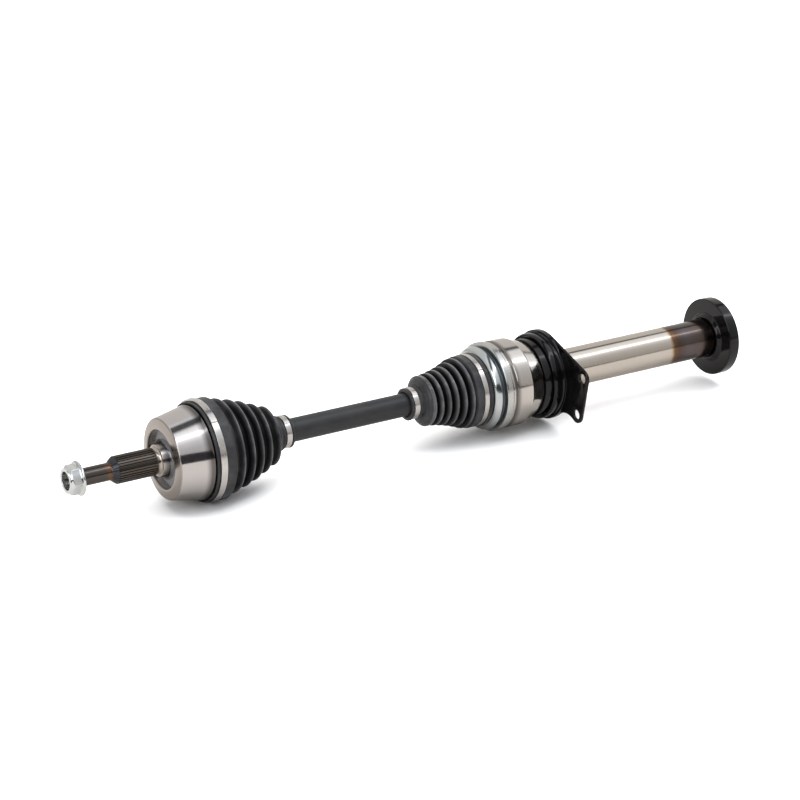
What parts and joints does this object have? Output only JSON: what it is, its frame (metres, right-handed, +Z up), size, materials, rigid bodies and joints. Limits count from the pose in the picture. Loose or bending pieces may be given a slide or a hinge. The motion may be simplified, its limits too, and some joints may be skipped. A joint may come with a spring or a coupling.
{
  "type": "cv axle",
  "caption": "Front drive shaft with a folded-boot ball joint at the wheel end, a sliding tripod joint, a flanged support bearing and a splined tube end with a dust disc.",
  "frame": {"origin": "middle of the part's box in X and Y, on the surface that it lies on", "axes": "+X along the axle from the wheel nut to the gearbox end, +Z up"},
  "size_m": [0.775, 0.1326, 0.1024],
  "materials": {
    "zinc": "bright zinc plate",
    "turned_steel": "fine turned",
    "ground_steel": "ground",
    "black_paint": "gloss black",
    "bar_paint": "satin dark grey",
    "boot_rubber": "smooth moulded",
    "clamp_steel": "bright strip",
    "spring_steel": "phosphated",
    "seal_rubber": "matte",
    "cage_polymer": "moulded"
  },
  "bodies": {
    "bearing_carrier": {"bearing_housing": "black_paint", "bearing_outer_ring": "ground_steel", "bearing_seal_outboard": "seal_rubber", "bearing_seal_inboard": "seal_rubber", "bearing_retaining_ring": "spring_steel"},
    "intermediate_shaft": {"tripod_housing": "turned_steel", "boot_can": "zinc", "intermediate_tube": "turned_steel", "end_disc": "black_paint", "bearing_inner_ring": "ground_steel", "bearing_circlip": "spring_steel", "bearing_dust_shield": "black_paint", "tube_plug": "spring_steel", "socket_seal_ring": "seal_rubber", "inner_boot_large_clamp": "clamp_steel", "inner_boot": "boot_rubber", "thrust_spring": "spring_steel"},
    "bearing_ball_set": {"bearing_cage": "cage_polymer", "bearing_ball_1": "ground_steel", "bearing_ball_2": "ground_steel", "bearing_ball_3": "ground_steel", "bearing_ball_4": "ground_steel", "bearing_ball_5": "ground_steel", "bearing_ball_6": "ground_steel", "bearing_ball_7": "ground_steel", "bearing_ball_8": "ground_steel", "bearing_ball_9": "ground_steel"},
    "thrust_slider": {"thrust_cup": "ground_steel"},
    "tripod_pivot": {"tripod_roller_1": "ground_steel"},
    "half_shaft_set": {"half_shaft": "bar_paint", "tripod_spider": "ground_steel", "tripod_roller_2": "ground_steel", "tripod_roller_3": "ground_steel", "roller_needles_1": "ground_steel", "roller_needles_2": "ground_steel", "roller_needles_3": "ground_steel", "roller_ring_1": "spring_steel", "roller_ring_2": "spring_steel", "roller_ring_3": "spring_steel", "spider_circlip": "spring_steel", "outer_joint_inner_race": "ground_steel", "outer_joint_circlip": "spring_steel", "outer_boot_small_clamp": "clamp_steel", "inner_boot_small_clamp": "clamp_steel"},
    "steer_pivot": {"outer_joint_ball_1": "ground_steel"},
    "ball_cage": {"outer_joint_cage": "spring_steel", "outer_joint_ball_2": "ground_steel", "outer_joint_ball_3": "ground_steel", "outer_joint_ball_5": "ground_steel", "outer_joint_ball_6": "ground_steel"},
    "bump_pivot": {"outer_joint_ball_4": "ground_steel"},
    "wheel_stub": {"outer_joint_bell": "turned_steel", "axle_nut": "zinc", "outer_boot_large_clamp": "clamp_steel", "outer_boot": "boot_rubber"}
  },
  "joints": [
    {"name": "shaft_spin", "type": "hinge", "parent": "bearing_carrier", "child": "intermediate_shaft", "pos_m": [0.1458, 0.01515, 0.0512], "axis": [1, 0, 0], "continuous": true},
    {"name": "bearing_cage_spin", "type": "hinge", "parent": "bearing_carrier", "child": "bearing_ball_set", "pos_m": [0.1458, 0.01515, 0.0512], "axis": [1, 0, 0], "continuous": true},
    {"name": "inner_plunge", "type": "slide", "parent": "intermediate_shaft", "child": "thrust_slider", "axis": [1, 0, 0], "range_m": [-0.008, 0.008], "deforming": ["thrust_spring"]},
    {"name": "inner_tilt_z", "type": "hinge", "parent": "thrust_slider", "child": "tripod_pivot", "pos_m": [0.0905, 0.01515, 0.0512], "axis": [0, 0, 1], "range_deg": [-8, 8]},
    {"name": "inner_tilt_y", "type": "hinge", "parent": "tripod_pivot", "child": "half_shaft_set", "pos_m": [0.0905, 0.01515, 0.0512], "axis": [0, 1, 0], "range_deg": [-18, 18], "deforming": ["inner_boot"]},
    {"name": "outer_steer_a", "type": "hinge", "parent": "half_shaft_set", "child": "steer_pivot", "pos_m": [-0.2525, 0.01515, 0.0512], "axis": [0, 0, 1], "range_deg": [-22, 22]},
    {"name": "outer_bump_a", "type": "hinge", "parent": "steer_pivot", "child": "ball_cage", "pos_m": [-0.2525, 0.01515, 0.0512], "axis": [0, 1, 0], "range_deg": [-7, 7]},
    {"name": "outer_bump_b", "type": "hinge", "parent": "ball_cage", "child": "bump_pivot", "pos_m": [-0.2525, 0.01515, 0.0512], "axis": [0, 1, 0], "range_deg": [-7, 7]},
    {"name": "outer_steer_b", "type": "hinge", "parent": "bump_pivot", "child": "wheel_stub", "pos_m": [-0.2525, 0.01515, 0.0512], "axis": [0, 0, 1], "range_deg": [-22, 22], "deforming": ["outer_boot"]}
  ],
  "couplings": [
    {"joint": "bearing_cage_spin", "follows": "shaft_spin", "ratio": 0.4013},
    {"joint": "outer_bump_b", "follows": "outer_bump_a", "ratio": 1},
    {"joint": "outer_steer_b", "follows": "outer_steer_a", "ratio": 1}
  ]
}
